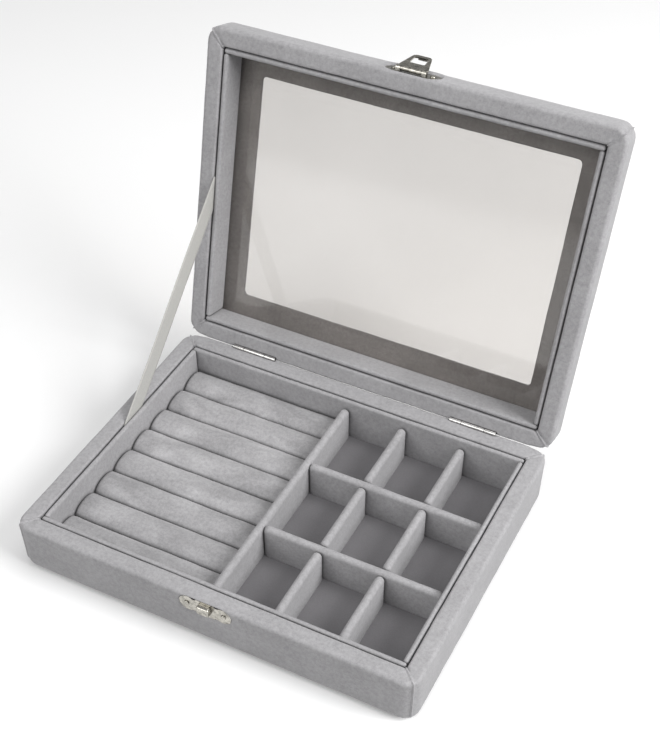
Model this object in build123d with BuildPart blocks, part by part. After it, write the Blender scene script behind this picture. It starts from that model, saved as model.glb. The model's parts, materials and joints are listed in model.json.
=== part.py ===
from build123d import *
from math import atan2, cos, degrees, radians, sin
import os

# Velvet-covered ring display box with a glazed, hinged lid, stored open.
# Origin: centre of the underside. +X to the right, +Y to the hinged back, +Z up.

os.makedirs("parts", exist_ok=True)

# Outside
box_width = 200.0
box_depth = 153.0
base_height = 27.8
lid_height = 17.4
corner_radius = 7.2         # upright corners, seen from above
rim_radius = 4.5            # padded edge beside the rim
foot_radius = 6.5           # padded edge round the underside
crown_radius = 6.9          # padded edge round the lid's top

# Walls: board inside a padded velvet cover
cover_thickness = 0.9
board_thickness = 6.5
cover_turn_in = 12.0        # how far the cover turns down the inner side of a wall
hem_width = 14.0            # turned under the base, from the outside
base_board_thickness = 3.2
floor_sheet_thickness = 0.5
underside_play = 0.2        # around the underside sheet, inside the hem
seam_width = 0.35           # sewn corner seam of the cover
seam_depth = 0.3
seam_end = 3.0              # seam stops short of the far face

# Lining strips that stand inside the walls
tuck_gap = 0.6              # slit between cover and lining
lining_thickness = 2.3
lining_drop = 0.4           # lining top edge under the rim
lining_end_radius = 1.2

# Compartments
divider_thickness = 4.0
divider_drop = 4.5          # divider top edge under the rim
divider_end_radius = 2.6
main_divider_x = -2.4
column_count = 3
row_count = 3
wrap_edge_share = 0.46      # rounding of a wrapped board's edge, over its thickness

# Ring rolls
roll_count = 8
roll_drop = 11.5            # crest under the rim
roll_crown = 4.5            # height of the rounded top
roll_gap = 0.15
roll_end_radius = 1.4

# Lid panel and glass
panel_thickness = 1.1
glass_thickness = 1.2
glass_play = 0.4            # between the pane's edge and the lid boards
window_width = 155.4
window_depth = 110.4
window_radius = 4.0

# Hinges
open_angle = 105.5          # how far the lid stands open on its ribbon stay
closed_gap = 0.3            # left between the two rims when shut
hinge_setback = 0.2         # hinge axis in from the back of the box
hinge_spread = 121.0        # between the centres of the two hinges
hinge_length = 24.0
knuckle_share = 0.25        # length of each outer knuckle, over the hinge length
knuckle_gap = 0.2
barrel_radius = 1.3
hinge_pin_radius = 0.6
leaf_thickness = 0.6
leaf_reach = 6.8
leaf_play = 0.05
pin_play = 0.02             # radial, in every knuckle
hinge_nail_spread = 15.0
hinge_nail_reach = 4.6
hinge_nail_radius = 0.5
hinge_nail_head_radius = 0.95
hinge_nail_head_depth = 0.45
hinge_nail_length = 5.5

# Clasp
plate_width = 26.0
plate_height = 8.8
plate_waist = 7.4           # height of the middle, between the round ends
plate_shoulder = 4.6        # half width of the middle
plate_thickness = 0.6
plate_sink = 0.5            # plate's face pressed in behind the padded wall
plate_play = 0.1            # between a plate and its seat
plate_drop = 5.7            # plate centre from the rim
clasp_nail_spread = 18.4
clasp_nail_radius = 0.5
clasp_nail_head_radius = 1.25
clasp_nail_head_height = 0.7
clasp_nail_length = 5.0
nose_drop = 4.9             # nose centre from the base's rim
nose_width = 6.2
nose_height = 4.6
nose_reach = 2.6            # out from the plate's face
nose_radius = 0.9
hasp_pin_drop = 3.05        # hasp axis from the lid's rim
hasp_pin_reach = 1.5        # hasp axis out from the plate's face
hasp_pin_radius = 0.5
hasp_knuckle_radius = 1.15
hasp_knuckle_length = 9.6
hasp_lug_length = 2.2
hasp_side_gap = 0.2
hasp_thickness = 0.7
hasp_base_width = 14.4
hasp_tip_width = 8.4
hasp_tip_radius = 2.2
hasp_tip_length = 1.7       # beyond the window
hasp_neck_gap = 0.4         # between the lugs and the hasp's wide part
hasp_window_radius = 0.8
hasp_rest_angle = 164.5     # folded back from its latched position
window_clearance = 0.45     # between the nose and the hasp's window
hasp_lip_width = 4.4
hasp_lip_reach = 1.2

# Ribbon stay on the left
stay_width = 10.5
stay_thickness = 0.4
stay_base_reach = 65.4      # from the hinge axis, along the base's rim
stay_lid_reach = 74.7       # from the hinge axis, along the lid's rim
stay_tuck = 8.0             # pushed into each slit


# Frames of the two halves. In each, x runs along the hinge, y from hinge to front,
# and z from the rim into the half.
hinge_y = box_depth / 2 - hinge_setback
hinge_z = base_height + closed_gap / 2
turn = radians(open_angle)
hinge_point = Vector(0, hinge_y, hinge_z)
lid_out = Vector(0, -cos(turn), sin(turn))
lid_in = Vector(0, sin(turn), cos(turn))
base_rim = Plane(origin=(0, 0, base_height), x_dir=(1, 0, 0), z_dir=(0, 0, -1))
lid_rim = Plane(
    origin=hinge_point + lid_out * hinge_y + lid_in * (closed_gap / 2),
    x_dir=(-1, 0, 0),
    z_dir=lid_in,
)

# Distances shared by mating pieces, from the outside inwards
board_inset = cover_thickness + board_thickness
rim_width = board_inset + cover_thickness
lining_inset = rim_width + tuck_gap
well_inset = lining_inset + lining_thickness
well_width = box_width - 2 * well_inset
well_depth = box_depth - 2 * well_inset

# Depths under each rim
floor_depth = base_height - cover_thickness - base_board_thickness - floor_sheet_thickness
panel_depth = lid_height - cover_thickness - panel_thickness
glass_depth = panel_depth - glass_thickness


def depth_axis(rim):
    """Direction from a rim into its half, for sorting edges and faces."""
    return Axis(rim.origin, rim.z_dir)


def point_in(rim, x, y, depth):
    """World position of a point given in a half's own frame."""
    return rim.origin + rim.x_dir * x + rim.y_dir * y + rim.z_dir * depth


def upright_plane(rim, centre, along):
    """Plane of a standing strip: x along the strip, y towards the rim."""
    return Plane(origin=centre, x_dir=along, z_dir=along.cross(rim.z_dir * -1))


def save(builder, name):
    """Label a finished piece and write it as one file."""
    builder.part.label = name
    export_step(builder.part, f"parts/{name}.step")


# Outer form of a half

def padded_block(rim, height, far_radius, inset):
    """One half of the box as a solid block, drawn in by inset on every side."""
    with BuildPart() as block:
        with BuildSketch(rim.offset(inset)):
            RectangleRounded(
                box_width - 2 * inset, box_depth - 2 * inset, corner_radius - inset
            )
        extrude(amount=height - 2 * inset)
        fillet(block.edges().group_by(depth_axis(rim))[0], rim_radius - inset)
        fillet(block.edges().group_by(depth_axis(rim))[-1], far_radius - inset)
    return block.part


def board_frame(rim, height, far_radius):
    """The four wall boards of a half, still in one ring."""
    with BuildPart() as frame:
        add(padded_block(rim, height, far_radius, cover_thickness))
        with BuildSketch(rim):
            Rectangle(box_width - 2 * board_inset, box_depth - 2 * board_inset)
        extrude(amount=height, mode=Mode.SUBTRACT)
    return frame.part


def mitred_board(rim, height, ring, side_x, side_y, cutters):
    """One wall board, cut out of the ring by mitres, with the holes for its fixings."""
    half_width = box_width / 2
    half_depth = box_depth / 2
    run = half_width - half_depth
    if side_x:
        outline = [(side_x * run, 0), (side_x * half_width, half_depth)]
        outline.append((side_x * half_width, -half_depth))
    else:
        outline = [(-run, 0), (run, 0)]
        outline.append((half_width, side_y * half_depth))
        outline.append((-half_width, side_y * half_depth))
    with BuildPart() as board:
        with BuildSketch(rim):
            with BuildLine():
                Polyline(*outline, close=True)
            make_face()
        extrude(amount=height)
        add(ring, mode=Mode.INTERSECT)
        for cutter in cutters:
            add(cutter, mode=Mode.SUBTRACT)
    return board


def corner_seams(rim, height, far_radius):
    """Shallow grooves of the mitre seams: across the rim and down each upright corner."""
    with BuildPart() as seams:
        with BuildSketch(rim):
            for side_x in (-1, 1):
                for side_y in (-1, 1):
                    middle_x = side_x * (box_width / 2 - rim_width / 2)
                    middle_y = side_y * (box_depth / 2 - rim_width / 2)
                    with Locations(Location((middle_x, middle_y), 45 * side_x * side_y)):
                        Rectangle(3 * rim_width, seam_width)
        extrude(amount=height - seam_end)
        with BuildSketch(rim):
            Rectangle(box_width - 2 * rim_width, box_depth - 2 * rim_width)
        extrude(amount=height, mode=Mode.SUBTRACT)
        add(padded_block(rim, height, far_radius, seam_depth), mode=Mode.SUBTRACT)
    return seams.part


def velvet_cover(rim, height, far_radius, cutters):
    """Padded cover round the wall boards, turned down inside them, closed at the far side."""
    with BuildPart() as cover:
        add(padded_block(rim, height, far_radius, 0))
        add(padded_block(rim, height, far_radius, cover_thickness), mode=Mode.SUBTRACT)
        with BuildSketch(rim):
            Rectangle(box_width - 2 * board_inset, box_depth - 2 * board_inset)
        extrude(amount=cover_turn_in)
        with BuildSketch(rim):
            Rectangle(box_width - 2 * rim_width, box_depth - 2 * rim_width)
        extrude(amount=cover_turn_in, mode=Mode.SUBTRACT)
        for cutter in cutters:
            add(cutter, mode=Mode.SUBTRACT)
    return cover


# Wrapped strips: linings and dividers

def wrapped_strip(rim, centre, along, length, height, thickness, end_radius):
    """Velvet-wrapped board on edge, rounded all round except where it stands."""
    plane = upright_plane(rim, centre, along)
    across = Axis(plane.origin, plane.z_dir)
    upward = Axis(plane.origin, plane.y_dir)
    with BuildPart() as strip:
        with BuildSketch(plane) as face:
            Rectangle(length, height)
            fillet(face.vertices().group_by(Axis.Y)[-1], end_radius)
        extrude(amount=thickness / 2, both=True)
        outline = strip.faces().filter_by(across).edges().group_by(upward)[1:]
        fillet([edge for group in outline for edge in group], thickness * wrap_edge_share)
    return strip


def lining_strip(rim, x, y, along, length, depth):
    """One lining strip, from just under the rim down to a depth."""
    centre = point_in(rim, x, y, (lining_drop + depth) / 2)
    height = depth - lining_drop
    return wrapped_strip(
        rim, centre, along, length, height, lining_thickness, lining_end_radius
    )


def divider(x, y, along, length):
    """One compartment divider, standing on the floor sheet."""
    centre = Vector(x, y, base_height - (divider_drop + floor_depth) / 2)
    height = floor_depth - divider_drop
    return wrapped_strip(
        base_rim, centre, along, length, height, divider_thickness, divider_end_radius
    )


# Hinge pieces, each in the frame of the half that carries it

def hinge_section(rim, x):
    """Plane square to the hinge axis: x reaches into the half's wall, y goes in depth."""
    origin = point_in(rim, x, -hinge_y, -closed_gap / 2)
    return Plane(origin=origin, x_dir=rim.y_dir, z_dir=rim.x_dir)


def leaf_slot(rim, x):
    """Slit in the back wall's top that a hinge leaf is pushed into."""
    with BuildPart() as slot:
        with BuildSketch(hinge_section(rim, x)):
            with Locations((0, barrel_radius - leaf_thickness / 2)):
                Rectangle(
                    leaf_reach + leaf_play,
                    leaf_thickness + 2 * leaf_play,
                    align=(Align.MIN, Align.CENTER),
                )
        extrude(amount=hinge_length / 2 + leaf_play, both=True)
    return slot.part


def hinge_nails(rim, x):
    """Two flush nails that hold one leaf on its board."""
    section = hinge_section(rim, x)
    face = Plane(
        origin=section.origin + rim.z_dir * (barrel_radius - leaf_thickness),
        x_dir=rim.x_dir,
        z_dir=rim.z_dir,
    )
    spots = [(side * hinge_nail_spread / 2, hinge_nail_reach) for side in (-1, 1)]
    head_step = hinge_nail_head_radius - hinge_nail_radius
    head_taper = degrees(atan2(head_step, hinge_nail_head_depth))
    with BuildPart() as nails:
        with BuildSketch(face):
            with Locations(*spots):
                Circle(hinge_nail_radius)
        extrude(amount=hinge_nail_length)
        with BuildSketch(face):
            with Locations(*spots):
                Circle(hinge_nail_head_radius)
        extrude(amount=hinge_nail_head_depth, taper=head_taper)
    return nails.part


def hinge_leaf(rim, x, knuckles, nails):
    """One leaf with its knuckles rolled round the pin; knuckles lists (start, end)."""
    section = hinge_section(rim, x)
    relief = barrel_radius + 2 * knuckle_gap
    leaf_middle = barrel_radius - leaf_thickness / 2
    with BuildPart() as leaf:
        with BuildSketch(section):
            with Locations((relief, leaf_middle)):
                Rectangle(
                    leaf_reach - relief, leaf_thickness, align=(Align.MIN, Align.CENTER)
                )
        extrude(amount=hinge_length / 2, both=True)
        for start, end in knuckles:
            with BuildSketch(section.offset(start)):
                Circle(barrel_radius)
                with Locations((0, leaf_middle)):
                    Rectangle(relief, leaf_thickness, align=(Align.MIN, Align.CENTER))
                Circle(hinge_pin_radius + pin_play, mode=Mode.SUBTRACT)
            extrude(amount=end - start)
        add(nails, mode=Mode.SUBTRACT)
    return leaf


def hinge_pin(rim, x):
    """Pin through all three knuckles of one hinge."""
    with BuildPart() as pin:
        with BuildSketch(hinge_section(rim, x)):
            Circle(hinge_pin_radius)
        extrude(amount=hinge_length / 2, both=True)
        fillet(pin.edges(), hinge_pin_radius * 0.3)
    return pin


# Clasp pieces

def front_plane(rim, depth, reach):
    """Plane on a half's front wall: x along the box, y towards the rim, z outwards."""
    origin = point_in(rim, 0, box_depth / 2 + reach, depth)
    return Plane(origin=origin, x_dir=rim.x_dir, z_dir=rim.y_dir)


def plate_body(rim, play):
    """Stamped clasp plate with round ends and a narrower middle, let into the wall."""
    end_radius = plate_height / 2 + play
    end_centre = plate_width / 2 - plate_height / 2
    back = plate_sink + plate_thickness
    with BuildPart() as body:
        with BuildSketch(front_plane(rim, plate_drop, -back)):
            with Locations((-end_centre, 0), (end_centre, 0)):
                Circle(end_radius)
            Rectangle(2 * end_centre, plate_waist + 2 * play)
            Rectangle(2 * plate_shoulder, plate_height + 2 * play)
        extrude(amount=plate_thickness if play == 0 else back + rim_radius)
    return body.part


def clasp_nails(rim):
    """Two round-headed nails through the ends of a plate."""
    with BuildPart() as nails:
        for side in (-1, 1):
            spot = (side * clasp_nail_spread / 2, 0)
            with BuildSketch(front_plane(rim, plate_drop, -plate_sink)):
                with Locations(spot):
                    Circle(clasp_nail_head_radius)
            head = extrude(amount=clasp_nail_head_height)
            outer_edges = head.edges().sort_by(Axis(rim.origin, rim.y_dir))[-1:]
            fillet(outer_edges, clasp_nail_head_height * 0.8)
            with BuildSketch(front_plane(rim, plate_drop, -plate_sink)):
                with Locations(spot):
                    Circle(clasp_nail_radius)
            extrude(amount=-clasp_nail_length)
    return nails


def pin_section(x):
    """Plane square to the hasp's axis: x outwards from the lid's front, y in depth."""
    reach = box_depth / 2 - plate_sink + hasp_pin_reach
    return Plane(
        origin=point_in(lid_rim, x, reach, hasp_pin_drop),
        x_dir=lid_rim.y_dir,
        z_dir=lid_rim.x_dir,
    )


# The two padded covers and the boards inside them

hinge_places = [("left", -hinge_spread / 2), ("right", hinge_spread / 2)]
outer_knuckle = hinge_length * knuckle_share
half_hinge = hinge_length / 2
base_knuckles = [
    (-half_hinge, -half_hinge + outer_knuckle - knuckle_gap / 2),
    (half_hinge - outer_knuckle + knuckle_gap / 2, half_hinge),
]
lid_knuckles = [
    (-half_hinge + outer_knuckle + knuckle_gap / 2, half_hinge - outer_knuckle - knuckle_gap / 2)
]

catch_nails = clasp_nails(base_rim)
hasp_nails = clasp_nails(lid_rim)

halves = [
    ("base", base_rim, base_height, foot_radius, base_knuckles, catch_nails.part),
    ("lid", lid_rim, lid_height, crown_radius, lid_knuckles, hasp_nails.part),
]
for half, rim, height, far_radius, knuckles, front_nails in halves:
    flip = rim.x_dir.X
    slots = [leaf_slot(rim, x * flip) for _, x in hinge_places]
    back_nails = [hinge_nails(rim, x * flip) for _, x in hinge_places]
    plate_seat = plate_body(rim, plate_play)
    ring = board_frame(rim, height, far_radius)
    walls = [
        ("front", 0, 1, [plate_seat, front_nails]),
        ("back", 0, -1, slots + back_nails),
        ("left", -flip, 0, []),
        ("right", flip, 0, []),
    ]
    for side, side_x, side_y, cutters in walls:
        board = mitred_board(rim, height, ring, side_x, side_y, cutters)
        save(board, f"{half}_board_{side}")

    seams = corner_seams(rim, height, far_radius)
    cutters = slots + back_nails + [plate_seat, front_nails, seams]
    cover = velvet_cover(rim, height, far_radius, cutters)
    with BuildPart() as opened_cover:
        add(cover.part)
        with BuildSketch(rim.offset(height - 2 * cover_thickness)):
            if half == "base":
                Rectangle(box_width - 2 * hem_width, box_depth - 2 * hem_width)
            else:
                RectangleRounded(window_width, window_depth, window_radius)
        extrude(amount=2 * cover_thickness, mode=Mode.SUBTRACT)
    save(opened_cover, f"{half}_cover")

    with BuildPart() as nail_group:
        for nails in back_nails:
            add(nails)
    save(nail_group, f"{half}_hinge_nails")
    for (place, x), nails in zip(hinge_places, back_nails):
        save(hinge_leaf(rim, x * flip, knuckles, nails), f"{half}_hinge_leaf_{place}")

# Floor of the base

with BuildPart() as base_board:
    with BuildSketch(base_rim.offset(base_height - cover_thickness)):
        Rectangle(box_width - 2 * board_inset, box_depth - 2 * board_inset)
    extrude(amount=-base_board_thickness)
save(base_board, "base_floor_board")

with BuildPart() as underside:
    with BuildSketch(base_rim.offset(base_height)):
        Rectangle(
            box_width - 2 * (hem_width + underside_play),
            box_depth - 2 * (hem_width + underside_play),
        )
    extrude(amount=-cover_thickness)
save(underside, "base_underside_sheet")

with BuildPart() as floor_sheet:
    with BuildSketch(base_rim.offset(floor_depth)):
        Rectangle(box_width - 2 * board_inset, box_depth - 2 * board_inset)
    extrude(amount=floor_sheet_thickness)
save(floor_sheet, "compartment_floor")

# Linings of both halves: front and back run full width, the sides stand between them

lining_long = box_width - 2 * lining_inset
lining_short = well_depth
lining_x = box_width / 2 - lining_inset - lining_thickness / 2
lining_y = box_depth / 2 - lining_inset - lining_thickness / 2
for half, rim, depth in (("base", base_rim, floor_depth), ("lid", lid_rim, glass_depth)):
    flip = rim.x_dir.X
    save(lining_strip(rim, 0, lining_y, rim.x_dir, lining_long, depth), f"{half}_lining_front")
    save(lining_strip(rim, 0, -lining_y, rim.x_dir, lining_long, depth), f"{half}_lining_back")
    save(
        lining_strip(rim, -lining_x * flip, 0, rim.y_dir, lining_short, depth),
        f"{half}_lining_left",
    )
    save(
        lining_strip(rim, lining_x * flip, 0, rim.y_dir, lining_short, depth),
        f"{half}_lining_right",
    )

# Dividers of the compartments

along_x = Vector(1, 0, 0)
along_y = Vector(0, 1, 0)
grid_left = main_divider_x + divider_thickness / 2
grid_width = well_width / 2 - grid_left
cell_width = (grid_width - (column_count - 1) * divider_thickness) / column_count
cell_depth = (well_depth - (row_count - 1) * divider_thickness) / row_count
row_pitch = cell_depth + divider_thickness
column_pitch = cell_width + divider_thickness

save(divider(main_divider_x, 0, along_y, well_depth), "main_divider")
for row in range(1, row_count):
    cross_y = well_depth / 2 - row * row_pitch + divider_thickness / 2
    save(
        divider(grid_left + grid_width / 2, cross_y, along_x, grid_width),
        f"cross_divider_{row}",
    )
for row in range(row_count):
    row_y = well_depth / 2 - row * row_pitch - cell_depth / 2
    for column in range(1, column_count):
        column_x = grid_left + column * column_pitch - divider_thickness / 2
        save(
            divider(column_x, row_y, along_y, cell_depth),
            f"column_divider_row{row + 1}_{column}",
        )

# Ring rolls: foam with a crowned top, side by side from front to back

roll_pitch = well_depth / roll_count
roll_width = roll_pitch - roll_gap
roll_left = -well_width / 2
roll_length = main_divider_x - divider_thickness / 2 - roll_left
roll_height = floor_depth - roll_drop
roll_base = base_height - floor_depth
for index in range(roll_count):
    roll_y = well_depth / 2 - (index + 0.5) * roll_pitch
    section = Plane(origin=(roll_left, roll_y, roll_base), x_dir=(0, 1, 0), z_dir=(1, 0, 0))
    with BuildPart() as roll:
        with BuildSketch(section):
            with BuildLine():
                crown = EllipticalCenterArc(
                    (0, roll_height - roll_crown), roll_width / 2, roll_crown, arc_size=180
                )
                Polyline(crown @ 1, (-roll_width / 2, 0), (roll_width / 2, 0), crown @ 0)
            make_face()
        extrude(amount=roll_length)
        ends = roll.faces().filter_by(Axis.X).edges().group_by(Axis.Z)[1:]
        fillet([edge for group in ends for edge in group], roll_end_radius)
    save(roll, f"ring_roll_{index + 1}")

# Lid panel and glass

with BuildPart() as panel:
    with BuildSketch(lid_rim.offset(panel_depth)):
        Rectangle(box_width - 2 * board_inset, box_depth - 2 * board_inset)
        RectangleRounded(window_width, window_depth, window_radius, mode=Mode.SUBTRACT)
    extrude(amount=panel_thickness)
save(panel, "lid_window_panel")

with BuildPart() as glass:
    with BuildSketch(lid_rim.offset(glass_depth)):
        Rectangle(
            box_width - 2 * (board_inset + glass_play),
            box_depth - 2 * (board_inset + glass_play),
        )
    extrude(amount=glass_thickness)
save(glass, "glass_pane")

# Hinge pins

for place, x in hinge_places:
    save(hinge_pin(base_rim, x), f"hinge_pin_{place}")

# Clasp on the base: plate with the nose that the hasp drops over

hasp_half = hasp_knuckle_length / 2
with BuildPart() as catch:
    add(plate_body(base_rim, 0))
    with BuildSketch(front_plane(base_rim, nose_drop, -plate_sink)):
        RectangleRounded(nose_width, nose_height, nose_radius)
    extrude(amount=nose_reach)
    outward = Axis(base_rim.origin, base_rim.y_dir)
    fillet(catch.faces().filter_by(outward).sort_by(outward)[-1].edges(), nose_radius * 0.8)
    add(catch_nails.part, mode=Mode.SUBTRACT)
save(catch, "catch_plate")
save(catch_nails, "catch_nails")

# Clasp on the lid: plate with two lugs, pin, and the swinging hasp

with BuildPart() as hasp_plate:
    add(plate_body(lid_rim, 0))
    for start in (-hasp_half - hasp_side_gap - hasp_lug_length, hasp_half + hasp_side_gap):
        with BuildSketch(pin_section(start)):
            Circle(hasp_knuckle_radius)
            Rectangle(
                hasp_pin_reach, 2 * hasp_knuckle_radius, align=(Align.MAX, Align.CENTER)
            )
            Circle(hasp_pin_radius + pin_play, mode=Mode.SUBTRACT)
        extrude(amount=hasp_lug_length)
    add(hasp_nails.part, mode=Mode.SUBTRACT)
save(hasp_plate, "hasp_plate")
save(hasp_nails, "hasp_nails")

pin_length = hasp_knuckle_length + 2 * (hasp_side_gap + hasp_lug_length)
with BuildPart() as hasp_pin:
    with BuildSketch(pin_section(0)):
        Circle(hasp_pin_radius)
    extrude(amount=pin_length / 2, both=True)
    fillet(hasp_pin.edges(), hasp_pin_radius * 0.3)
save(hasp_pin, "hasp_pin")

# The hasp's window passes the nose when the lid is shut, so its place follows from both
nose_centre = hasp_pin_drop + closed_gap + nose_drop
window_start = nose_centre - nose_height / 2 - window_clearance
window_end = nose_centre + nose_height / 2 + window_clearance
window_span = nose_width + 2 * window_clearance
hasp_length = window_end + hasp_tip_length
neck_length = hasp_knuckle_radius + hasp_neck_gap
hasp_turn = radians(hasp_rest_angle)
hasp_direction = lid_rim.z_dir * -cos(hasp_turn) + lid_rim.y_dir * sin(hasp_turn)
hasp_plane = Plane(
    origin=pin_section(0).origin,
    x_dir=lid_rim.x_dir,
    z_dir=lid_rim.x_dir.cross(hasp_direction),
)
with BuildPart() as hasp:
    with BuildSketch(hasp_plane) as outline:
        with BuildLine():
            Polyline(
                (-hasp_base_width / 2, neck_length),
                (hasp_base_width / 2, neck_length),
                (hasp_tip_width / 2, hasp_length),
                (-hasp_tip_width / 2, hasp_length),
                close=True,
            )
        make_face()
        fillet(outline.vertices().group_by(Axis.Y)[-1], hasp_tip_radius)
        fillet(outline.vertices().group_by(Axis.Y)[0], hasp_neck_gap)
        Rectangle(hasp_knuckle_length, 2 * neck_length, align=(Align.CENTER, Align.MIN))
        with Locations((0, (window_start + window_end) / 2)):
            RectangleRounded(
                window_span,
                window_end - window_start,
                hasp_window_radius,
                mode=Mode.SUBTRACT,
            )
    extrude(amount=hasp_thickness / 2, both=True)
    with BuildSketch(hasp_plane):
        with Locations((0, hasp_length)):
            Rectangle(hasp_lip_width, hasp_thickness, align=(Align.CENTER, Align.MAX))
    extrude(amount=hasp_thickness / 2 + hasp_lip_reach)
    with BuildSketch(pin_section(0)):
        Circle(hasp_knuckle_radius)
    extrude(amount=hasp_half, both=True)
    with BuildSketch(pin_section(0)):
        Circle(hasp_pin_radius + pin_play)
    extrude(amount=hasp_half, both=True, mode=Mode.SUBTRACT)
save(hasp, "hasp")

# Ribbon stay: a flat strap, straight from slit to slit on the left

stay_x = -(box_width / 2 - rim_width - tuck_gap / 2)
stay_start = Vector(stay_x, hinge_y - stay_base_reach, base_height)
stay_end = hinge_point + lid_out * stay_lid_reach + lid_in * (closed_gap / 2)
stay_end = Vector(stay_x, stay_end.Y, stay_end.Z)
stay_run = stay_end - stay_start
with BuildPart() as stay:
    with BuildSketch(Plane(origin=(stay_start + stay_end) * 0.5, x_dir=stay_run, z_dir=(1, 0, 0))):
        Rectangle(stay_run.length + 2 * stay_tuck, stay_width)
    extrude(amount=stay_thickness / 2, both=True)
save(stay, "ribbon_stay")
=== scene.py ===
import json
import math

import bmesh
import bpy
from mathutils import Matrix, Vector, noise


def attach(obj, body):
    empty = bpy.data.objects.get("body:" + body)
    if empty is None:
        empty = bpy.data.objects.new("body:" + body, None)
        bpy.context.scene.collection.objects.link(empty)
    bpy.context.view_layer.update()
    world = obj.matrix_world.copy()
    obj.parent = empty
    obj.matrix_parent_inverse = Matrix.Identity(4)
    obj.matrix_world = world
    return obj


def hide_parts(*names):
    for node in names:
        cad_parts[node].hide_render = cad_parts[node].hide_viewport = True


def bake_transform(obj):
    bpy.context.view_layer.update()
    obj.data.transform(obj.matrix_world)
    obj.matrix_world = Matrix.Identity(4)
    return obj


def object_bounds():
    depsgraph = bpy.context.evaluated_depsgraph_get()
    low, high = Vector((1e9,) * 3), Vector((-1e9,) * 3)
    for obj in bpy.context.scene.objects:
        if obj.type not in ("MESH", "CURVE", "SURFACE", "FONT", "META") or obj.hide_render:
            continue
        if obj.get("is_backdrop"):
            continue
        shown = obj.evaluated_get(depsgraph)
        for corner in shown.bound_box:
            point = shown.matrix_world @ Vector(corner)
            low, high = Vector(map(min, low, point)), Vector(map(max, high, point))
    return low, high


# Velvet ring display box, open, seen from the front right and above.
# Lengths are in metres; MM turns millimetres into metres.

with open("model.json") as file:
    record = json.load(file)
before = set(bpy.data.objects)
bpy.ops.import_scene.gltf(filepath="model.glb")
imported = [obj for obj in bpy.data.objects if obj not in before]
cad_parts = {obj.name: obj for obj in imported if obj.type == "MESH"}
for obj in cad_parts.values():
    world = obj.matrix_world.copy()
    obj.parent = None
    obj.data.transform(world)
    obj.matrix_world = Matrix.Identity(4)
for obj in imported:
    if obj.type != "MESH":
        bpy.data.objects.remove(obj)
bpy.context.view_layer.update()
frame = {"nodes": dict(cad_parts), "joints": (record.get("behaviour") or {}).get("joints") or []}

MM = 0.001

# Camera, from the perspective of the photograph
image_width = 660
image_height = 742
sensor_height = 36.0
focal_in_pixels = 1257.4
principal_x = 332.8
principal_y = 549.3
camera_place = Vector((0.2018, -0.3511, 0.4482))
camera_view = Vector((-0.2979, 0.5856, -0.7539))

camera_data = bpy.data.cameras.new("camera")
camera_data.sensor_fit = "VERTICAL"
camera_data.sensor_height = sensor_height
camera_data.lens = focal_in_pixels / image_height * sensor_height
camera_data.shift_x = (image_width / 2 - principal_x) / image_height
camera_data.shift_y = (principal_y - image_height / 2) / image_height
camera_data.clip_start = 0.01
camera_data.clip_end = 50
camera = bpy.data.objects.new("camera", camera_data)
camera.location = camera_place
camera.rotation_euler = camera_view.to_track_quat("-Z", "Y").to_euler()
bpy.context.collection.objects.link(camera)
bpy.context.scene.camera = camera

# Sizes shared with the rigid parts
rim_width = 8.3 * MM
corner_radius = 7.2 * MM
rim_radius = 1.9 * MM
rim_swell = 0.12 * MM
foot_radius = 5.2 * MM
crown_radius = 6.2 * MM
hem_width = 14.0 * MM
cover_turn_in = 12.0 * MM
inner_edge_radius = 1.0 * MM
least_corner = 0.8 * MM
window_radius = 2.2 * MM
hinge_setback = 0.2 * MM
hinge_lift = 0.15 * MM
hinge_place_x = 60.5 * MM
hinge_half = 12.0 * MM
hinge_end_room = 0.2 * MM
barrel_notch = 1.35 * MM
square_share = 0.9
plate_drop = 5.7 * MM
plate_end = 13.0 * MM
plate_half_height = 4.4 * MM
seam_depth = 0.55 * MM
seam_half_width = 0.28 * MM
seam_swell = 0.22 * MM
seam_swell_place = 0.9 * MM
seam_swell_width = 0.6 * MM
plate_press = 1.15 * MM
plate_ridge = 0.25 * MM


# Frames of the two halves: x along the hinge, y from the middle towards the clasp side,
# z from the rim into the half.

def node_mesh(name):
    """Mesh of a rigid part, in the row frame."""
    return frame["nodes"][name]


def world_points(name):
    part = node_mesh(name)
    return [part.matrix_world @ vertex.co for vertex in part.data.vertices]


hinge = next(joint for joint in frame["joints"] if joint["name"] == "lid_hinge")
hinge_place = Vector(hinge["pos_m"])
open_angle = math.radians(max(abs(limit) for limit in hinge["range_deg"]))


def half_frame(out, depth):
    """Matrix of a half whose middle lies at the origin, before it is moved into place."""
    along = out.cross(depth)
    return Matrix((along, out, depth)).transposed().to_4x4()


base_turn = half_frame(Vector((0, -1, 0)), Vector((0, 0, -1)))
lid_turn = half_frame(
    Vector((0, -math.cos(open_angle), math.sin(open_angle))),
    Vector((0, math.sin(open_angle), math.cos(open_angle))),
)


def local_bounds(turn, names):
    """Lowest and highest corner of some rigid parts, along a half's own axes."""
    inverse = turn.inverted()
    points = [inverse @ point for name in names for point in world_points(name)]
    low = Vector([min(point[axis] for point in points) for axis in range(3)])
    high = Vector([max(point[axis] for point in points) for axis in range(3)])
    return low, high


def placed_frame(turn, cover):
    """Frame with its origin at the middle of a half's rim, and that half's size."""
    low, high = local_bounds(turn, [cover])
    middle = Vector(((low.x + high.x) / 2, (low.y + high.y) / 2, low.z))
    return turn @ Matrix.Translation(middle), high - low


base_frame, base_size = placed_frame(base_turn, "base_cover")
lid_frame, lid_size = placed_frame(lid_turn, "lid_cover")


# Materials

def new_material(name, slot_colour):
    material = bpy.data.materials.new(name)
    material.use_nodes = True
    shader = material.node_tree.nodes["Principled BSDF"]
    shader.inputs["Base Color"].default_value = (*slot_colour, 1)
    material.diffuse_color = (*slot_colour, 1)
    return material, material.node_tree.nodes, material.node_tree.links, shader


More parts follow.
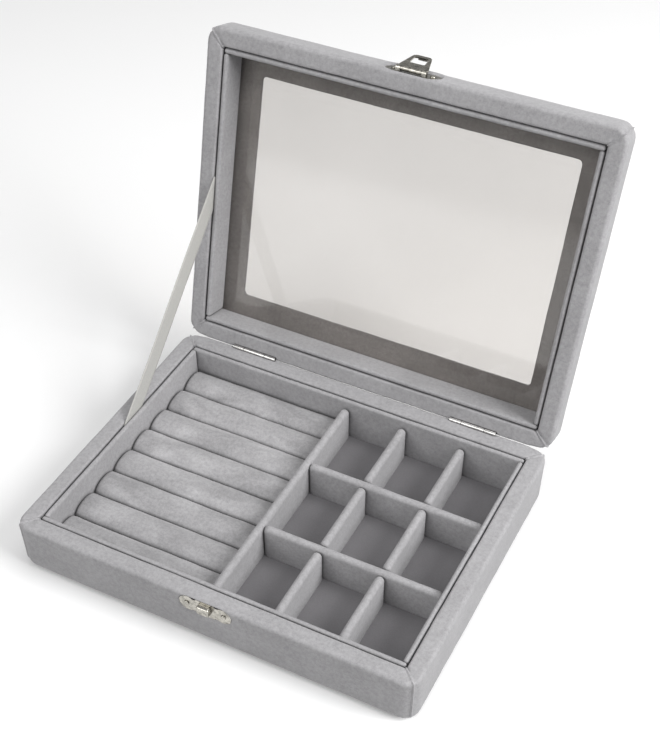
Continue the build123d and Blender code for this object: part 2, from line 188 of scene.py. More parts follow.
def object_coordinates(nodes, links, scale=(1, 1, 1)):
    coordinates = nodes.new("ShaderNodeTexCoord")
    mapping = nodes.new("ShaderNodeMapping")
    mapping.inputs["Scale"].default_value = scale
    links.new(coordinates.outputs["Object"], mapping.inputs["Vector"])
    return mapping.outputs["Vector"]


def noise_texture(nodes, links, vector, scale, detail=2.0, roughness=0.5, distortion=0.0):
    texture = nodes.new("ShaderNodeTexNoise")
    texture.inputs["Scale"].default_value = scale
    texture.inputs["Detail"].default_value = detail
    texture.inputs["Roughness"].default_value = roughness
    texture.inputs["Distortion"].default_value = distortion
    links.new(vector, texture.inputs["Vector"])
    return texture.outputs["Fac"]


def colour_ramp(nodes, links, factor, stops):
    ramp = nodes.new("ShaderNodeValToRGB")
    ramp.color_ramp.elements[0].position = stops[0][0]
    ramp.color_ramp.elements[0].color = (*stops[0][1], 1)
    ramp.color_ramp.elements[1].position = stops[-1][0]
    ramp.color_ramp.elements[1].color = (*stops[-1][1], 1)
    for position, colour in stops[1:-1]:
        element = ramp.color_ramp.elements.new(position)
        element.color = (*colour, 1)
    links.new(factor, ramp.inputs["Fac"])
    return ramp.outputs["Color"]


def multiply_colours(nodes, links, first, second):
    mix = nodes.new("ShaderNodeMix")
    mix.data_type = "RGBA"
    mix.blend_type = "MULTIPLY"
    mix.inputs["Factor"].default_value = 1.0
    links.new(first, mix.inputs["A"])
    links.new(second, mix.inputs["B"])
    return mix.outputs["Result"]


def add_bump(nodes, links, shader, height, strength, distance, before=None):
    bump = nodes.new("ShaderNodeBump")
    bump.inputs["Strength"].default_value = strength
    bump.inputs["Distance"].default_value = distance
    links.new(height, bump.inputs["Height"])
    if before is not None:
        links.new(before, bump.inputs["Normal"])
    links.new(bump.outputs["Normal"], shader.inputs["Normal"])
    return bump.outputs["Normal"]


def shade(colour, factor):
    return tuple(min(1.0, channel * factor) for channel in colour)


def painted_crease_shade(nodes, links, colour, distance, darkest):
    """Colour darkened in creases by an occlusion node: painted shade where creases keep light
    out.
    """
    occlusion = nodes.new("ShaderNodeAmbientOcclusion")
    occlusion.samples = 8
    occlusion.inputs["Distance"].default_value = distance
    levels = nodes.new("ShaderNodeMapRange")
    levels.inputs["From Min"].default_value = 0.25
    levels.inputs["From Max"].default_value = 0.75
    levels.inputs["To Min"].default_value = darkest
    levels.inputs["To Max"].default_value = 1.0
    links.new(occlusion.outputs["AO"], levels.inputs["Value"])
    return multiply_colours(nodes, links, colour, levels.outputs["Result"])


def velvet(name, colour, brushed, along=(1, 1, 1), crease=2.2 * MM):
    """Short-pile velvet: brushed patches, fine pile grain, painted shade in its creases and a
    soft sheen.
    """
    material, nodes, links, shader = new_material(name, colour)
    vector = object_coordinates(nodes, links, along)
    patches = noise_texture(
        nodes, links, vector, scale=38, detail=4.0, roughness=0.55, distortion=0.6
    )
    patch_colour = colour_ramp(
        nodes,
        links,
        patches,
        [(0.30, shade(colour, 1 - brushed)), (0.52, colour), (0.72, shade(colour, 1 + brushed))],
    )
    plain = object_coordinates(nodes, links)
    pile = noise_texture(nodes, links, plain, scale=2600, roughness=0.7)
    pile_colour = colour_ramp(
        nodes, links, pile, [(0.25, (0.80, 0.80, 0.80)), (0.75, (1.0, 1.0, 1.0))]
    )
    mottle = noise_texture(nodes, links, plain, scale=620, detail=4.0, roughness=0.75)
    mottle_colour = colour_ramp(
        nodes, links, mottle, [(0.32, (0.80, 0.80, 0.80)), (0.62, (1.04, 1.04, 1.04))]
    )
    result = multiply_colours(nodes, links, patch_colour, pile_colour)
    result = multiply_colours(nodes, links, result, mottle_colour)
    # Painted shade: the velvet's colour darkens in creases, valleys and gaps between parts.
    result = painted_crease_shade(nodes, links, result, distance=crease, darkest=0.50)
    links.new(result, shader.inputs["Base Color"])
    shader.inputs["Roughness"].default_value = 0.95
    shader.inputs["Specular IOR Level"].default_value = 0.15
    shader.inputs["Sheen Weight"].default_value = 0.35
    shader.inputs["Sheen Roughness"].default_value = 0.45
    shader.inputs["Sheen Tint"].default_value = (0.95, 0.95, 0.96, 1)
    nap = noise_texture(nodes, links, plain, scale=900, detail=3.0, roughness=0.6)
    first = add_bump(nodes, links, shader, nap, strength=0.35, distance=0.12 * MM)
    add_bump(nodes, links, shader, pile, strength=0.45, distance=0.05 * MM, before=first)
    return material


def smooth_cloth(name, colour):
    """Flat, closely woven cloth glued to a board."""
    material, nodes, links, shader = new_material(name, colour)
    vector = object_coordinates(nodes, links)
    stains = noise_texture(nodes, links, vector, scale=30, detail=3.0)
    base = colour_ramp(
        nodes, links, stains, [(0.3, shade(colour, 0.92)), (0.7, shade(colour, 1.08))]
    )
    grain = noise_texture(nodes, links, vector, scale=1800)
    grain_colour = colour_ramp(
        nodes, links, grain, [(0.2, (0.85, 0.85, 0.85)), (0.8, (1.0, 1.0, 1.0))]
    )
    links.new(multiply_colours(nodes, links, base, grain_colour), shader.inputs["Base Color"])
    shader.inputs["Roughness"].default_value = 0.85
    shader.inputs["Sheen Weight"].default_value = 0.1
    add_bump(nodes, links, shader, grain, strength=0.25, distance=0.05 * MM)
    return material


def plated_metal(name, colour, roughness, wear):
    """Nickel plate with fine scratches, dull patches and painted shade in its creases."""
    material, nodes, links, shader = new_material(name, colour)
    vector = object_coordinates(nodes, links)
    patches = noise_texture(nodes, links, vector, scale=420, detail=3.0, roughness=0.6)
    base = colour_ramp(
        nodes, links, patches, [(0.28, shade(colour, 1 - wear)), (0.62, colour)]
    )
    # Painted shade: the plate's colour darkens strongly in its creases and gaps.
    base = painted_crease_shade(nodes, links, base, distance=1.1 * MM, darkest=0.12)
    links.new(base, shader.inputs["Base Color"])
    shader.inputs["Metallic"].default_value = 1.0
    scratches = noise_texture(
        nodes, links, object_coordinates(nodes, links, (1, 9, 9)), scale=900
    )
    levels = nodes.new("ShaderNodeMapRange")
    levels.inputs["To Min"].default_value = roughness * 0.7
    levels.inputs["To Max"].default_value = roughness * 1.5
    links.new(scratches, levels.inputs["Value"])
    links.new(levels.outputs["Result"], shader.inputs["Roughness"])
    add_bump(nodes, links, shader, scratches, strength=0.12, distance=0.03 * MM)
    return material


def fibreboard(name, colour):
    """Raw board with flecked fibres."""
    material, nodes, links, shader = new_material(name, colour)
    vector = object_coordinates(nodes, links, (1, 1, 4))
    fibres = noise_texture(nodes, links, vector, scale=700, detail=5.0, roughness=0.7)
    base = colour_ramp(
        nodes, links, fibres, [(0.3, shade(colour, 0.75)), (0.7, shade(colour, 1.2))]
    )
    links.new(base, shader.inputs["Base Color"])
    shader.inputs["Roughness"].default_value = 0.9
    add_bump(nodes, links, shader, fibres, strength=0.3, distance=0.1 * MM)
    return material


def woven_ribbon(name, colour):
    """Ribbon with fine cross ribs and uneven threads."""
    material, nodes, links, shader = new_material(name, colour)
    coordinates = nodes.new("ShaderNodeTexCoord")
    ribs = nodes.new("ShaderNodeTexWave")
    ribs.wave_type = "BANDS"
    ribs.bands_direction = "Y"
    ribs.inputs["Scale"].default_value = 520
    ribs.inputs["Distortion"].default_value = 0.6
    ribs.inputs["Detail"].default_value = 1.0
    links.new(coordinates.outputs["Object"], ribs.inputs["Vector"])
    threads = noise_texture(nodes, links, coordinates.outputs["Object"], scale=1500)
    base = colour_ramp(
        nodes, links, ribs.outputs["Fac"], [(0.0, shade(colour, 0.82)), (0.6, colour)]
    )
    tint = colour_ramp(
        nodes, links, threads, [(0.25, (0.88, 0.88, 0.88)), (0.75, (1.0, 1.0, 1.0))]
    )
    links.new(multiply_colours(nodes, links, base, tint), shader.inputs["Base Color"])
    shader.inputs["Roughness"].default_value = 0.7
    shader.inputs["Sheen Weight"].default_value = 0.25
    add_bump(nodes, links, shader, ribs.outputs["Fac"], strength=0.4, distance=0.08 * MM)
    return material


def clear_glass(name, tint):
    """Thin window glass with a faint film, so that it is not perfectly clean."""
    material, nodes, links, shader = new_material(name, tint)
    vector = object_coordinates(nodes, links)
    film = noise_texture(
        nodes, links, vector, scale=14, detail=4.0, roughness=0.6, distortion=0.8
    )
    base = colour_ramp(nodes, links, film, [(0.3, shade(tint, 0.97)), (0.7, tint)])
    links.new(base, shader.inputs["Base Color"])
    levels = nodes.new("ShaderNodeMapRange")
    levels.inputs["To Min"].default_value = 0.0
    levels.inputs["To Max"].default_value = 0.05
    links.new(film, levels.inputs["Value"])
    links.new(levels.outputs["Result"], shader.inputs["Roughness"])
    shader.inputs["Transmission Weight"].default_value = 1.0
    shader.inputs["IOR"].default_value = 1.5
    paths = nodes.new("ShaderNodeLightPath")
    clear = nodes.new("ShaderNodeBsdfTransparent")
    clear.inputs["Color"].default_value = (*tint, 1)
    mix = nodes.new("ShaderNodeMixShader")
    output = nodes["Material Output"]
    links.new(paths.outputs["Is Shadow Ray"], mix.inputs["Fac"])
    links.new(shader.outputs["BSDF"], mix.inputs[1])
    links.new(clear.outputs["BSDF"], mix.inputs[2])
    links.new(mix.outputs["Shader"], output.inputs["Surface"])
    return material


velvet_grey = (0.398, 0.392, 0.402)
cover_velvet = velvet("cover_velvet", velvet_grey, brushed=0.07)
lining_velvet = velvet("lining_velvet", velvet_grey, brushed=0.08)
divider_velvet = velvet("divider_velvet", velvet_grey, brushed=0.08)
# crease sets how far the painted shade reaches; the rolls get a wide one so the valleys between
# them read dark.
roll_velvet = velvet(
    "roll_velvet", (0.410, 0.404, 0.413), brushed=0.22, along=(1, 2.2, 1), crease=4.0 * MM
)
panel_velvet = velvet("panel_velvet", (0.74, 0.73, 0.74), brushed=0.16, crease=1.2 * MM)
floor_cloth = smooth_cloth("floor_cloth", (0.215, 0.209, 0.218))
underside_cloth = smooth_cloth("underside_cloth", (0.30, 0.295, 0.30))
hinge_nickel = plated_metal("hinge_nickel", (0.58, 0.57, 0.56), roughness=0.22, wear=0.30)
clasp_nickel = plated_metal("clasp_nickel", (0.52, 0.50, 0.45), roughness=0.24, wear=0.62)
raw_board = fibreboard("raw_board", (0.45, 0.36, 0.26))
ribbon_weave = woven_ribbon("ribbon_weave", (0.52, 0.515, 0.49))
window_glass = clear_glass("window_glass", (0.672, 0.652, 0.632))


# Mesh helpers

def finish_piece(name, mesh, matrix, material, body, node):
    """Turns a built mesh into a shown piece that rides on a body and stands for a node."""
    bmesh.ops.transform(mesh, matrix=matrix, verts=mesh.verts)
    if matrix.determinant() < 0:
        bmesh.ops.reverse_faces(mesh, faces=mesh.faces)
    data = bpy.data.meshes.new(name)
    mesh.to_mesh(data)
    mesh.free()
    data.materials.append(material)
    for polygon in data.polygons:
        polygon.use_smooth = True
    piece = bpy.data.objects.new(name, data)
    bpy.context.collection.objects.link(piece)
    if body is not None:
        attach(piece, body)
    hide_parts(node)
    return piece


def grid_faces(mesh, rows, closed):
    """Quads between rows of vertices; closed joins each row's end to its start."""
    for lower, upper in zip(rows, rows[1:]):
        count = len(lower)
        last = count if closed else count - 1
        for index in range(last):
            following = (index + 1) % count
            mesh.faces.new((lower[index], lower[following], upper[following], upper[index]))


def spread(start, end, step):
    """Evenly spaced values from start to end, no further apart than step."""
    count = max(1, math.ceil(abs(end - start) / step))
    return [start + (end - start) * index / count for index in range(count + 1)]


def soft_noise(place, size, seed):
    """Smooth noise between about -1 and 1, with features of a given size."""
    return noise.noise(place / size + Vector((seed, seed * 0.37, seed * 0.71)))


# Padded covers: one profile swept round a rounded rectangle

straight_half = 92.8 * MM
hinge_stations = []
for side in (-1, 1):
    for end in (-1, 1):
        place = (side * hinge_place_x + end * (hinge_half + hinge_end_room)) / straight_half
        hinge_stations += [place - 0.002, place + 0.002]
clasp_share = 0.19
front_fractions = sorted(
    set(spread(-1, 1, 0.022) + spread(-clasp_share, clasp_share, 0.005) + hinge_stations)
)
side_fractions = spread(-1, 1, 0.03)
far_from_seam = 1.0
seam_reach = 0.8
seam_offsets = [-seam_reach, -0.45, -0.25, -0.1, 0.0, 0.1, 0.25, 0.45, seam_reach]


def corner_offsets(radius):
    """Distances along a corner's arc from its middle, close together at the seam."""
    half = radius * math.pi / 4
    widest = min(seam_reach * MM, 0.85 * half)
    inner = [offset / seam_reach * widest for offset in seam_offsets]
    outer = [widest + (half - widest) * share for share in (0.3, 0.65)]
    return [-value for value in reversed(outer)] + inner + outer


def ring(half_x, half_y, radius):
    """Points of a rounded rectangle and their distance from the nearest corner seam.

    Points on the straight sides get far_from_seam.
    """
    straight_x = half_x - radius
    straight_y = half_y - radius
    points = []
    sides = [
        (Vector((1, 0)), Vector((0, 1)), straight_x, half_y, front_fractions),
        (Vector((0, -1)), Vector((1, 0)), straight_y, half_x, side_fractions),
        (Vector((-1, 0)), Vector((0, -1)), straight_x, half_y, front_fractions),
        (Vector((0, 1)), Vector((-1, 0)), straight_y, half_x, side_fractions),
    ]
    for along, outward, run, reach, fractions in sides:
        for fraction in fractions:
            points.append((along * (fraction * run) + outward * reach, far_from_seam))
        centre = along * run + outward * (reach - radius)
        for offset in corner_offsets(radius):
            angle = math.pi / 4 + offset / radius
            direction = outward * math.cos(angle) + along * math.sin(angle)
            points.append((centre + direction * radius, offset))
    return points


def arc(centre, radius, start, end, count):
    """Profile points of an arc, as (inset, depth); angles in degrees."""
    angles = [math.radians(start + (end - start) * step / count) for step in range(count + 1)]
    return [
        (centre[0] + radius * math.cos(angle), centre[1] + radius * math.sin(angle))
        for angle in angles
    ]


def wall_profile(height, far_radius):
    """From the slit inside the wall, over the rim and down to the far face."""
    inner = rim_width
    points = [(inner, depth) for depth in spread(cover_turn_in, 2.5 * MM, 2.5 * MM)]
    points += arc((inner - inner_edge_radius, inner_edge_radius), inner_edge_radius, 0, -90, 5)
    points += [
        (inset, 0) for inset in spread(inner - inner_edge_radius, rim_radius, 0.8 * MM)[1:-1]
    ]
    points += arc((rim_radius, rim_radius), rim_radius, -90, -180, 9)
    points += [(0, depth) for depth in spread(rim_radius, height - far_radius, 1.2 * MM)[1:-1]]
    points += arc((far_radius, height - far_radius), far_radius, 180, 90, 9)
    return points


def plate_distance(x, depth):
    """Signed distance outside the clasp plate's outline."""
    end_centre = plate_end - plate_half_height
    beside = max(abs(x) - end_centre, 0)
    return math.hypot(beside, depth - plate_drop) - plate_half_height


def square_hinge_edge(mesh, half_x, half_y):
    """Draws the rounded rim edge out to a nearly square one along the hinged side."""
    for vertex in mesh.verts:
        across = vertex.co.y + half_y - rim_radius
        down = vertex.co.z - rim_radius
        if across < 0 and down < 0:
            reach = max(-across, -down)
            length = math.hypot(across, down)
            share = min(1.0, max(0.0, (half_x - 7 * MM - abs(vertex.co.x)) / (5 * MM)))
            share *= square_share * min(1.0, length / rim_radius)
            stretch = 1 + share * (rim_radius / reach - 1) if reach > 0.2 * MM else 1
            vertex.co.y = -half_y + rim_radius + across * stretch
            vertex.co.z = rim_radius + down * stretch


def notch_for_barrels(mesh, half_y):
    """Presses the velvet back round each hinge barrel."""
    for vertex in mesh.verts:
        beside = abs(abs(vertex.co.x) - hinge_place_x)
        across = vertex.co.y + half_y - hinge_setback
        down = vertex.co.z + hinge_lift
        distance = math.hypot(across, down)
        if beside < hinge_half + hinge_end_room and 0 < distance < barrel_notch:
            stretch = barrel_notch / distance
            vertex.co.y = -half_y + hinge_setback + across * stretch
            vertex.co.z = down * stretch - hinge_lift


def build_cover(rings, half_x, half_y, height, seed):
    """Mesh of a padded cover from its rings (half_x, half_y, radius, depth, shift_x, shift_y)."""
    mesh = bmesh.new()
    rows = []
    seams = []
    for ring_half_x, ring_half_y, radius, depth, shift_x, shift_y in rings:
        row = []
        for point, seam in ring(ring_half_x, ring_half_y, radius):
            row.append(mesh.verts.new((point.x + shift_x, point.y + shift_y, depth)))
            seams.append(seam)
        rows.append(row)
    grid_faces(mesh, rows, True)
    square_hinge_edge(mesh, half_x, half_y)
    mesh.normal_update()
    shifts = []
    for vertex, seam in zip(mesh.verts, seams):
        puff = 0.16 * MM * soft_noise(vertex.co, 0.022, seed)
        puff += 0.07 * MM * soft_noise(vertex.co, 0.007, seed + 3)
        share = min(1.0, max(0.0, (height - 2.5 * MM - vertex.co.z) / (2.0 * MM)))
        beside = (abs(seam) - seam_swell_place) / seam_swell_width
        groove = seam_depth * math.exp(-((seam / seam_half_width) ** 2)) * share
        swell = seam_swell * math.exp(-(beside ** 2)) * share
        shifts.append(vertex.normal * (puff + swell - groove))
    for vertex, shift in zip(mesh.verts, shifts):
        vertex.co += shift
    for vertex in mesh.verts:
        if vertex.co.y > half_y - 5 * MM and abs(vertex.co.x) < 20 * MM:
            outside = plate_distance(vertex.co.x, vertex.co.z)
            press = plate_press / (1 + math.exp((outside - 0.25 * MM) / (0.22 * MM)))
            ridge = plate_ridge * math.exp(-(((outside - 1.8 * MM) / (1.2 * MM)) ** 2))
            limit = half_y - press
            if vertex.co.y > limit - 0.6 * MM and vertex.co.z > 0.6 * MM:
                vertex.co.y = min(vertex.co.y, limit) + ridge
    notch_for_barrels(mesh, half_y)
    for vertex in mesh.verts:
        vertex.co.z = max(vertex.co.z, -rim_swell)
    return mesh


def cover_rings(size, profile):
    """Rings of a wall profile round one half."""
    rings = []
    for inset, depth in profile:
        radius = max(corner_radius - inset, least_corner)
        rings.append((size.x / 2 - inset, size.y / 2 - inset, radius, depth, 0, 0))
    return rings


base_profile = wall_profile(base_size.z, foot_radius)
base_profile += [(inset, base_size.z) for inset in spread(foot_radius, hem_width, 2.5 * MM)[1:]]
base_rings = cover_rings(base_size, base_profile)
base_cover = finish_piece(
    "base_velvet_cover",
    build_cover(base_rings, base_size.x / 2, base_size.y / 2, base_size.z, 1.3),
    base_frame,
    cover_velvet,
    "base",
    "base_cover",
)

# The lid's cover runs on over the panel and turns in round the window
panel_low, panel_high = local_bounds(lid_turn, ["lid_window_panel"])
panel_outer = lid_turn.inverted() @ lid_frame.translation
panel_depth = panel_low.z - panel_outer.z
window_half_x = 78.8 * MM
window_half_y = 54.9 * MM
window_shift_x = -1.1 * MM
window_shift_y = 0.6 * MM
lid_rings = cover_rings(lid_size, wall_profile(lid_size.z, crown_radius))
start_x, start_y, start_radius = lid_rings[-1][:3]
window_edge = 0.9 * MM
turned = 0.12 * MM
for share in spread(0, 1, 0.1)[1:]:
    lid_rings.append((
        start_x + (window_half_x + window_edge - start_x) * share,
        start_y + (window_half_y + window_edge - start_y) * share,
        start_radius + (window_radius + window_edge - start_radius) * share,
        lid_size.z,
        window_shift_x * share,
        window_shift_y * share,
    ))
for inset, depth in arc((0, lid_size.z - window_edge), window_edge, 90, 0, 4)[1:]:
    lid_rings.append((
        window_half_x + window_edge - inset - turned,
        window_half_y + window_edge - inset - turned,
        window_radius + window_edge - inset,
        depth,
        window_shift_x,
        window_shift_y,
    ))
lid_rings.append((
    window_half_x - turned,
    window_half_y - turned,
    window_radius,
    panel_depth + 0.05 * MM,
    window_shift_x,
    window_shift_y,
))
lid_cover = finish_piece(
    "lid_velvet_cover",
    build_cover(lid_rings, lid_size.x / 2, lid_size.y / 2, lid_size.z, 5.1),
    lid_frame,
    cover_velvet,
    "lid",
    "lid_cover",
)


# Panel behind the glass, covered in cloth, with the window cut out of it
panel_size = panel_high - panel_low
panel_middle = (panel_high + panel_low) / 2 - panel_outer
mesh = bmesh.new()
rows = []
for half_x, half_y, radius, depth, share in (
    (window_half_x, window_half_y, window_radius, panel_depth + panel_size.z, 1),
    (window_half_x, window_half_y, window_radius, panel_depth + 0.15 * MM, 1),
    (window_half_x + 0.2 * MM, window_half_y + 0.2 * MM, window_radius, panel_depth, 1),
    (panel_size.x / 2, panel_size.y / 2, least_corner, panel_depth, 0),
    (panel_size.x / 2, panel_size.y / 2, least_corner, panel_depth + panel_size.z, 0),
):
    rows.append([
        mesh.verts.new((
            point.x + window_shift_x * share + panel_middle.x * (1 - share),
            point.y + window_shift_y * share + panel_middle.y * (1 - share),
            depth,
        ))
        for point, _ in ring(half_x, half_y, radius)
    ])
grid_faces(mesh, rows, True)
grid_faces(mesh, [rows[-1], rows[0]], True)
bmesh.ops.recalc_face_normals(mesh, faces=mesh.faces)
window_panel = finish_piece(
    "window_panel", mesh, lid_frame, panel_velvet, "lid", "lid_window_panel"
)
for polygon in window_panel.data.polygons:
    polygon.use_smooth = False


# Crowned strips: linings, dividers and ring rolls

def crowned_strip(length, width, height, crown, end_width, end_drop, step, swell, seed):
    """Strip along x, standing on z = 0, with an elliptic top and softly rounded ends."""
    mesh = bmesh.new()
    near_end = [0.0, 0.05, 0.15, 0.3, 0.5, 0.75, 1.0]
    reach = max(end_width, end_drop)
    wall_steps = max(2, math.ceil((height - crown) / (2.5 * MM)))
    stations = [share * reach for share in near_end]
    stations += spread(reach, length - reach, step)[1:]
    stations += [length - share * reach for share in reversed(near_end[:-1])]
    rows = []
    for station in stations:
        from_end = min(station, length - station)
        narrow = round_off(from_end, end_width)
        drop = round_off(from_end, end_drop)
        half = width / 2 - narrow
        top = height - drop
        arch = min(crown, top)
        spring = top - arch
        levels = [spring * level / wall_steps for level in range(wall_steps)]
        row = [(-half, z) for z in levels]
        for turn in range(13):
            angle = math.pi * turn / 12
            row.append((-half * math.cos(angle), spring + arch * math.sin(angle)))
        row += [(half, z) for z in reversed(levels)]
        rows.append([
            mesh.verts.new((station - length / 2, y, z)) for y, z in row
        ])
    grid_faces(mesh, rows, False)
    mesh.faces.new(list(reversed(rows[0])))
    mesh.faces.new(rows[-1])
    bmesh.ops.recalc_face_normals(mesh, faces=mesh.faces)
    mesh.normal_update()
    shifts = []
    for vertex in mesh.verts:
        lift = min(1.0, vertex.co.z / height)
        uneven = soft_noise(vertex.co, 0.014, seed) + 0.5 * soft_noise(vertex.co, 0.005, seed + 1)
        shifts.append(vertex.normal * (swell * uneven * lift))
    for vertex, shift in zip(mesh.verts, shifts):
        vertex.co += shift
    return mesh


def round_off(distance, radius):
    """How far a rounded edge has fallen away at a distance from the end."""
    if distance >= radius:
        return 0.0
    return radius - math.sqrt(radius * radius - (radius - distance) ** 2)


def strip_for(name, node, turn, body, material, crown_share, end_drop, swell, seed):
    """Velvet-wrapped board in the place of a rigid strip, standing towards the rim."""
    low, high = local_bounds(turn, [node])
    size = high - low
    along_x = size.x > size.y
    length = size.x if along_x else size.y
    width = size.y if along_x else size.x
    crown = width * crown_share
    mesh = crowned_strip(
        length - 0.1 * MM, width, size.z, crown, width * 0.42, end_drop, 2.5 * MM, swell, seed
    )
    centre = (low + high) / 2
    if along_x:
        axes = Matrix(((1, 0, 0), (0, -1, 0), (0, 0, -1)))
    else:
        axes = Matrix(((0, 1, 0), (1, 0, 0), (0, 0, -1)))
    place = Matrix.Translation((centre.x, centre.y, high.z)) @ axes.to_4x4()
    return finish_piece(name, mesh, turn @ place, material, body, node)


seed = 10.0
for half, turn in (("base", base_turn), ("lid", lid_turn)):
    for side in ("front", "back", "left", "right"):
        seed += 2.3
        strip_for(
            f"{half}_velvet_lining_{side}",
            f"{half}_lining_{side}",
            turn,
            half,
            lining_velvet,
            crown_share=0.5,
            end_drop=1.2 * MM,
            swell=0.12 * MM,
            seed=seed,
        )

divider_nodes = sorted(name for name in frame["nodes"] if "divider" in name)
for node in divider_nodes:
    seed += 2.3
    strip_for(
        f"velvet_{node}",
        node,
        base_turn,
        "base",
        divider_velvet,
        crown_share=0.5,
        end_drop=2.6 * MM,
        swell=0.14 * MM,
        seed=seed,
    )

roll_nodes = sorted(name for name in frame["nodes"] if name.startswith("ring_roll"))
for node in roll_nodes:
    seed += 2.3
    low, high = local_bounds(base_turn, [node])
    size = high - low
    mesh = crowned_strip(
        size.x,
        size.y + 0.1 * MM,
        size.z,
        crown=4.5 * MM,
        end_width=1.6 * MM,
        end_drop=2.0 * MM,
        step=1.2 * MM,
        swell=0.28 * MM,
        seed=seed,
    )
    centre = (low + high) / 2
    axes = Matrix(((1, 0, 0), (0, -1, 0), (0, 0, -1))).to_4x4()
    place = Matrix.Translation((centre.x, centre.y, high.z)) @ axes
    roll = finish_piece(
        f"velvet_{node}", mesh, base_turn @ place, roll_velvet, "base", node
    )


# Flat sheets: the compartment floor and the underside

def laid_sheet(name, node, material, swell, seed):
    low, high = local_bounds(base_turn, [node])
    mesh = bmesh.new()
    columns = spread(low.x, high.x, 3 * MM)
    lines = spread(low.y, high.y, 3 * MM)
    upper = []
    for y in lines:
        upper.append([
            mesh.verts.new((x, y, low.z + swell * soft_noise(Vector((x, y, 0)), 0.015, seed)))
            for x in columns
        ])
    lower = [[mesh.verts.new((x, y, high.z)) for x in columns] for y in lines]
    grid_faces(mesh, upper, False)
    grid_faces(mesh, [list(reversed(row)) for row in lower], False)
    rim_upper = upper[0] + [row[-1] for row in upper[1:]] + list(reversed(upper[-1]))[1:]
    rim_upper += [row[0] for row in reversed(upper[1:-1])]
    rim_lower = lower[0] + [row[-1] for row in lower[1:]] + list(reversed(lower[-1]))[1:]
    rim_lower += [row[0] for row in reversed(lower[1:-1])]
    grid_faces(mesh, [rim_upper, rim_lower], True)
    bmesh.ops.recalc_face_normals(mesh, faces=mesh.faces)
    piece = finish_piece(name, mesh, base_turn, material, "base", node)


laid_sheet("compartment_cloth", "compartment_floor", floor_cloth, 0.02 * MM, 71)
laid_sheet("underside_cloth", "base_underside_sheet", underside_cloth, 0, 72)


# Ribbon stay

ribbon_points = sorted(world_points("ribbon_stay"), key=lambda point: point.z)
half_count = len(ribbon_points) // 2
ribbon_low_end = sum(ribbon_points[:half_count], Vector()) / half_count
ribbon_high_end = sum(ribbon_points[-half_count:], Vector()) / half_count
ribbon_width = 10.5 * MM
ribbon_thickness = 0.35 * MM
ribbon_run = ribbon_high_end - ribbon_low_end
ribbon_axis = ribbon_run.normalized()
ribbon_side = Vector((1, 0, 0)).cross(ribbon_axis).normalized()
mesh = bmesh.new()
rows = []
ribbon_length = ribbon_run.length
for distance in spread(0, ribbon_length, 1.5 * MM):
    share = distance / ribbon_length
    bow = 0.15 * MM * math.sin(math.pi * share) * math.sin(2.2 * math.pi * share)
    row = []
    for side, across in ((1, spread(-0.5, 0.5, 0.125)), (-1, spread(0.5, -0.5, 0.125))):
        for value in across:
            edge = ribbon_thickness * (0.5 if abs(value) < 0.45 else 0.32)
            offset = Vector((bow + side * edge, 0, 0))
            place = ribbon_low_end + ribbon_axis * distance + ribbon_side * (value * ribbon_width)
            row.append(mesh.verts.new(place + offset))
    rows.append(row)
grid_faces(mesh, rows, True)
mesh.faces.new(list(reversed(rows[0])))
mesh.faces.new(rows[-1])
bmesh.ops.recalc_face_normals(mesh, faces=mesh.faces)
ribbon = finish_piece(
    "ribbon_strap", mesh, Matrix.Identity(4), ribbon_weave, None, "ribbon_stay"
)
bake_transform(ribbon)


# Glass pane with softly ground edges

glass_low, glass_high = local_bounds(lid_turn, ["glass_pane"])
glass_gap = 0.05 * MM
mesh = bmesh.new()
bmesh.ops.create_cube(mesh, size=1)
glass_size = glass_high - glass_low - Vector((0, 0, 2 * glass_gap))
bmesh.ops.scale(mesh, vec=glass_size, verts=mesh.verts)
bmesh.ops.translate(mesh, vec=(glass_low + glass_high) / 2, verts=mesh.verts)
bmesh.ops.bevel(
    mesh, geom=mesh.edges[:], offset=0.15 * MM, segments=2, affect="EDGES", profile=0.5
)
glass = finish_piece(
    "window_pane", mesh, lid_turn, window_glass, "lid", "glass_pane"
)
for polygon in glass.data.polygons:
    polygon.use_smooth = False


# Materials of the rigid parts that stay

def repaint(names, material, bevel=0.0):
    for name in names:
        part = node_mesh(name)
        part.data.materials.clear()
        part.data.materials.append(material)
        if bevel > 0:
            rounding = part.modifiers.new("edge_rounding", "BEVEL")
            rounding.width = bevel
            rounding.segments = 2
            rounding.limit_method = "ANGLE"
            rounding.angle_limit = math.radians(40)


hinge_parts = [name for name in frame["nodes"] if "hinge" in name]
clasp_parts = ["catch_plate", "catch_nails", "hasp_plate", "hasp_nails", "hasp_pin", "hasp"]
board_parts = [name for name in frame["nodes"] if "_board_" in name]
board_parts.append("base_floor_board")
repaint(hinge_parts, hinge_nickel, 0.07 * MM)
repaint(clasp_parts, clasp_nickel, 0.08 * MM)
repaint(board_parts, raw_board)


# Floor, light and background

key_power = 15.4
top_power = 4.2
fill_power = 10.3
sky_strength = 0.34
floor_bounce = 0.45
floor_white = 0.95
lamp_target = Vector((0.0, 0.0, 0.05))


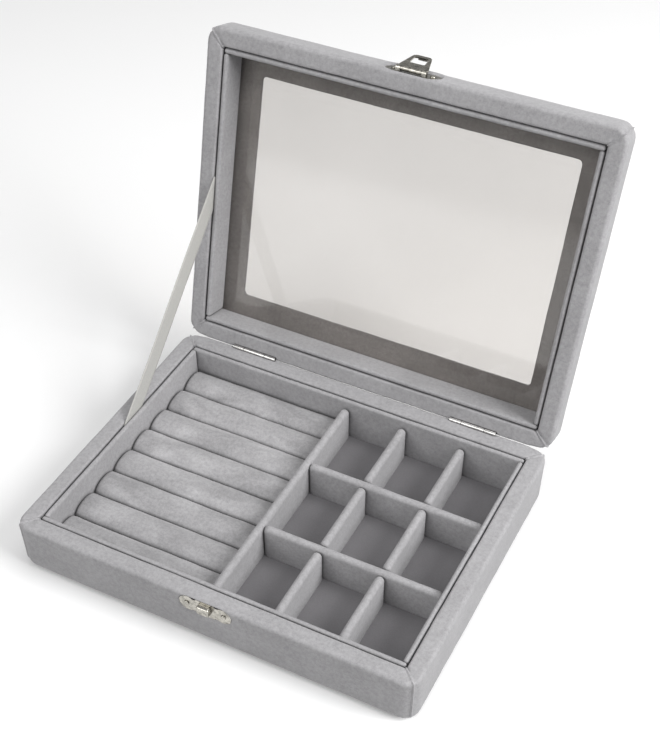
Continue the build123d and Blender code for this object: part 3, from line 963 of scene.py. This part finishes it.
def area_light(name, place, size, power):
    """Round white lamp that points at the box."""
    data = bpy.data.lights.new(name, "AREA")
    data.shape = "DISK"
    data.size = size
    data.energy = power
    light = bpy.data.objects.new(name, data)
    light.location = place
    aim = lamp_target - Vector(place)
    light.rotation_euler = aim.to_track_quat("-Z", "Y").to_euler()
    bpy.context.collection.objects.link(light)


floor_mesh = bmesh.new()
bmesh.ops.create_grid(floor_mesh, x_segments=1, y_segments=1, size=6)
floor_data = bpy.data.meshes.new("floor")
floor_mesh.to_mesh(floor_data)
floor_mesh.free()
floor = bpy.data.objects.new("floor", floor_data)
bpy.context.collection.objects.link(floor)
floor_material, floor_nodes, floor_links, floor_shader = new_material(
    "floor_white", (floor_white, floor_white, floor_white)
)
floor_shader.inputs["Roughness"].default_value = 0.9
floor_shader.inputs["Specular IOR Level"].default_value = 0.0

# The floor reads white in the picture and through the glass, but throws less light back
floor_paths = floor_nodes.new("ShaderNodeLightPath")
floor_colour = floor_nodes.new("ShaderNodeMix")
floor_colour.data_type = "RGBA"
floor_colour.inputs["A"].default_value = (floor_bounce, floor_bounce, floor_bounce, 1)
floor_colour.inputs["B"].default_value = (floor_white, floor_white, floor_white, 1)
seen = floor_paths.outputs["Is Camera Ray"]
for kind in ("Is Glossy Ray", "Is Transmission Ray"):
    either = floor_nodes.new("ShaderNodeMath")
    either.operation = "MAXIMUM"
    floor_links.new(seen, either.inputs[0])
    floor_links.new(floor_paths.outputs[kind], either.inputs[1])
    seen = either.outputs["Value"]
floor_links.new(seen, floor_colour.inputs["Factor"])
floor_links.new(floor_colour.outputs["Result"], floor_shader.inputs["Base Color"])
floor_data.materials.append(floor_material)
floor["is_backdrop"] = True

area_light("key", (1.0, 0.05, 0.75), 0.8, key_power)
area_light("top", (0.15, 0.25, 1.3), 1.0, top_power)
area_light("fill", (-0.5, -1.1, 0.9), 1.2, fill_power)

world = bpy.data.worlds.new("studio")
bpy.context.scene.world = world
world.use_nodes = True
world.node_tree.nodes["Background"].inputs["Color"].default_value = (1, 1, 1, 1)
world.node_tree.nodes["Background"].inputs["Strength"].default_value = sky_strength
bpy.context.scene.view_settings.view_transform = "Standard"

low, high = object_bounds()
